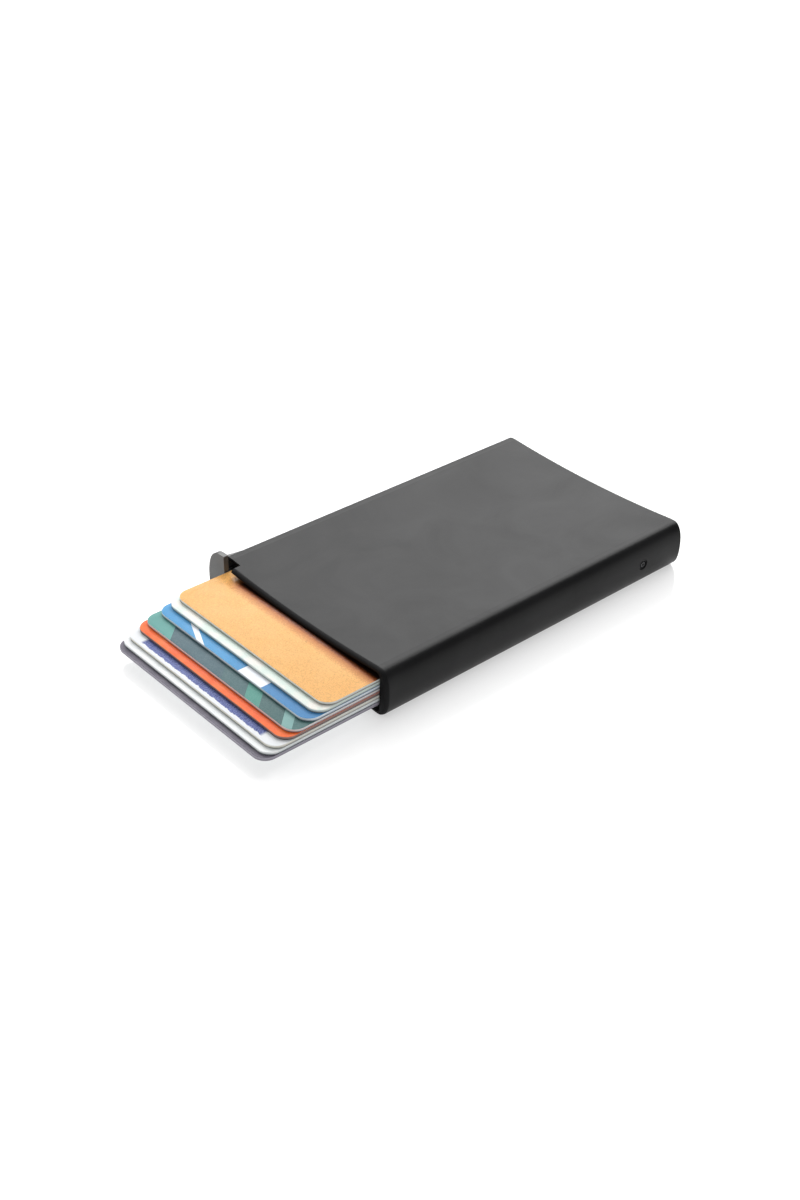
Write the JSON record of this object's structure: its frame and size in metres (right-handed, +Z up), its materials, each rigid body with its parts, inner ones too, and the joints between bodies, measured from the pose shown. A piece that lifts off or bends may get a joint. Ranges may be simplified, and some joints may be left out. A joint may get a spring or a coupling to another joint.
{
  "type": "pop-up card holder",
  "caption": "Slim metal card holder: a dished anodised sleeve with bank cards fanned out of its mouth, and a push tab that works an ejector lever inside the base.",
  "frame": {"origin": "middle of the underside of the whole object's box, in the fanned pose", "axes": "+X across the sleeve, away from the push tab; +Y along the sleeve from the mouth to the closed far end; +Z up, out of the upper dished face"},
  "size_m": [0.0628, 0.1264, 0.0139],
  "materials": {
    "black_anodised": "satin bead-blasted black anodising",
    "black_plastic": "fine moulded texture",
    "steel": "plain ground steel",
    "dark_steel": "blackened steel",
    "felt": "short dark felt",
    "grey_anodised": "satin grey anodising",
    "grey_acetal": "moulded acetal",
    "card_orange": "fine-grained satin card print",
    "card_pale": "satin card print",
    "card_blue": "satin card print with two pale diagonal stripes",
    "card_teal": "satin card print in soft blocks",
    "card_coral": "satin card print",
    "card_violet": "satin card print with a ragged band",
    "card_white": "satin white card",
    "card_lilac": "satin dark card"
  },
  "bodies": {
    "case": {"case_shell": "black_anodised", "base_insert": "black_plastic", "pivot_pin": "steel", "rivet_left": "dark_steel", "rivet_right": "dark_steel", "grip_pad_left": "felt", "grip_pad_right": "felt", "rail_guide": "black_plastic"},
    "tab": {"thumb_tab": "grey_anodised", "slider_rail": "steel", "tab_pin": "steel"},
    "lever": {"eject_lever": "grey_acetal"},
    "card_1_body": {"card_1": "card_orange"},
    "card_2_body": {"card_2": "card_pale"},
    "card_3_body": {"card_3": "card_blue"},
    "card_4_body": {"card_4": "card_teal"},
    "card_5_body": {"card_5": "card_coral"},
    "card_6_body": {"card_6": "card_violet"},
    "card_7_body": {"card_7": "card_white"},
    "card_8_body": {"card_8": "card_lilac"}
  },
  "joints": [
    {"name": "card_8_slide", "type": "slide", "parent": "case", "child": "card_8_body", "axis": [0, 1, 0], "range_m": [0, 0.0242]},
    {"name": "card_1_slide", "type": "slide", "parent": "case", "child": "card_1_body", "axis": [0, 1, 0], "range_m": [0, 0.0077]},
    {"name": "card_2_slide", "type": "slide", "parent": "case", "child": "card_2_body", "axis": [0, 1, 0], "range_m": [0, 0.01]},
    {"name": "card_3_slide", "type": "slide", "parent": "case", "child": "card_3_body", "axis": [0, 1, 0], "range_m": [0, 0.0127]},
    {"name": "card_4_slide", "type": "slide", "parent": "case", "child": "card_4_body", "axis": [0, 1, 0], "range_m": [0, 0.0166]},
    {"name": "card_5_slide", "type": "slide", "parent": "case", "child": "card_5_body", "axis": [0, 1, 0], "range_m": [0, 0.0187]},
    {"name": "card_6_slide", "type": "slide", "parent": "case", "child": "card_6_body", "axis": [0, 1, 0], "range_m": [0, 0.0214]},
    {"name": "card_7_slide", "type": "slide", "parent": "case", "child": "card_7_body", "axis": [0, 1, 0], "range_m": [0, 0.023]},
    {"name": "lever_swing", "type": "hinge", "parent": "case", "child": "lever", "pos_m": [-0.01959, 0.05005, 0.006], "axis": [0, 0, 1], "range_deg": [0, 41.52]},
    {"name": "tab_slide", "type": "slide", "parent": "case", "child": "tab", "axis": [0, -1, 0], "range_m": [0, 0.00516]}
  ],
  "couplings": [
    {"joint": "card_1_slide", "follows": "card_8_slide", "ratio": 0.31818},
    {"joint": "card_2_slide", "follows": "card_8_slide", "ratio": 0.41322},
    {"joint": "card_3_slide", "follows": "card_8_slide", "ratio": 0.52479},
    {"joint": "card_4_slide", "follows": "card_8_slide", "ratio": 0.68595},
    {"joint": "card_5_slide", "follows": "card_8_slide", "ratio": 0.77273},
    {"joint": "card_6_slide", "follows": "card_8_slide", "ratio": 0.8843},
    {"joint": "card_7_slide", "follows": "card_8_slide", "ratio": 0.95041},
    {"joint": "lever_swing", "follows": "card_8_slide", "rad_per_m": 29.941},
    {"joint": "tab_slide", "follows": "card_8_slide", "ratio": 0.21312}
  ]
}
